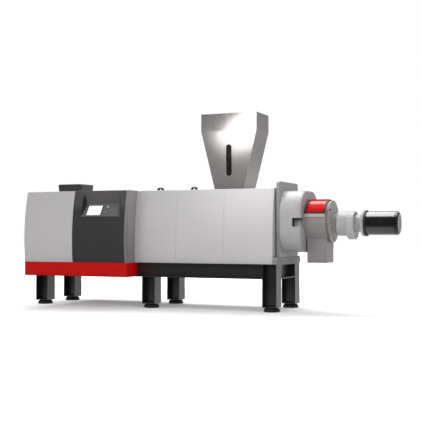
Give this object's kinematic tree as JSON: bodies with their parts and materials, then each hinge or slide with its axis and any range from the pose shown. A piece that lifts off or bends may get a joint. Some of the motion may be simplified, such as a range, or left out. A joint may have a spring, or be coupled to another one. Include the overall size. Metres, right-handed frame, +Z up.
{
  "type": "plastic film squeezer",
  "caption": "Plastic film squeezer: a screw press on an H-beam frame with a hopper, crowned covers, a recessed control desk, a press head and a motor-driven cutter with a hinged hatch.",
  "frame": {"origin": "on the floor, at the middle of the machine's overall length and width", "axes": "+X along the machine from the drive housing to the cutter motor, the operator's side at -Y, +Z up"},
  "size_m": [4.674, 1.3244, 2.378],
  "materials": {
    "black_paint": "semi-gloss",
    "red_paint": "semi-gloss",
    "light_grey_paint": "satin",
    "dark_grey_paint": "satin",
    "desk_grey_paint": "satin",
    "machine_grey_paint": "satin",
    "stainless_sheet": "brushed",
    "machined_steel": "satin",
    "foot_rubber": "matte",
    "screen_glass": "gloss",
    "button_plastic": "gloss",
    "sight_glass": "gloss"
  },
  "bodies": {
    "machine": {"leg_front_left": "black_paint", "leg_back_left": "black_paint", "leg_front_middle": "black_paint", "leg_back_middle": "black_paint", "leg_front_right": "black_paint", "leg_back_right": "black_paint", "front_rail": "black_paint", "back_rail": "black_paint", "middle_cross_beam": "black_paint", "end_cross_beam": "black_paint", "motor_flange": "black_paint", "motor_body": "black_paint", "motor_cap": "black_paint", "base_front_beam": "red_paint", "base_back_beam": "red_paint", "base_left_beam": "red_paint", "base_right_beam": "red_paint", "base_deck": "red_paint", "drive_cover": "light_grey_paint", "housing_end_wall": "light_grey_paint", "barrel_cover_left": "light_grey_paint", "barrel_cover_middle": "light_grey_paint", "barrel_cover_right": "light_grey_paint", "gear_reducer": "light_grey_paint", "motor_neck": "light_grey_paint", "control_cover": "dark_grey_paint", "vent_hood": "dark_grey_paint", "lifting_eyes": "dark_grey_paint", "control_panel": "desk_grey_paint", "head_foot": "machine_grey_paint", "head_plate": "machine_grey_paint", "cutter_housing": "machine_grey_paint", "cutter_end_disc": "machine_grey_paint", "hatch_hinge": "machine_grey_paint", "hopper": "stainless_sheet", "head_cylinder": "machined_steel", "head_flange": "machined_steel", "barrel_neck": "machined_steel", "feed_screw": "machined_steel", "hatch_sill": "machined_steel", "levelling_feet": "foot_rubber", "touch_screen": "screen_glass", "push_buttons": "button_plastic", "hopper_sight_glass": "sight_glass"},
    "cutter_hatch": {"cutter_hatch": "red_paint"}
  },
  "joints": [
    {"name": "hatch_hinge", "type": "hinge", "parent": "machine", "child": "cutter_hatch", "pos_m": [1.3965, 0.182, 1.24547], "axis": [-1, 0, 0], "range_deg": [0, 100]}
  ]
}
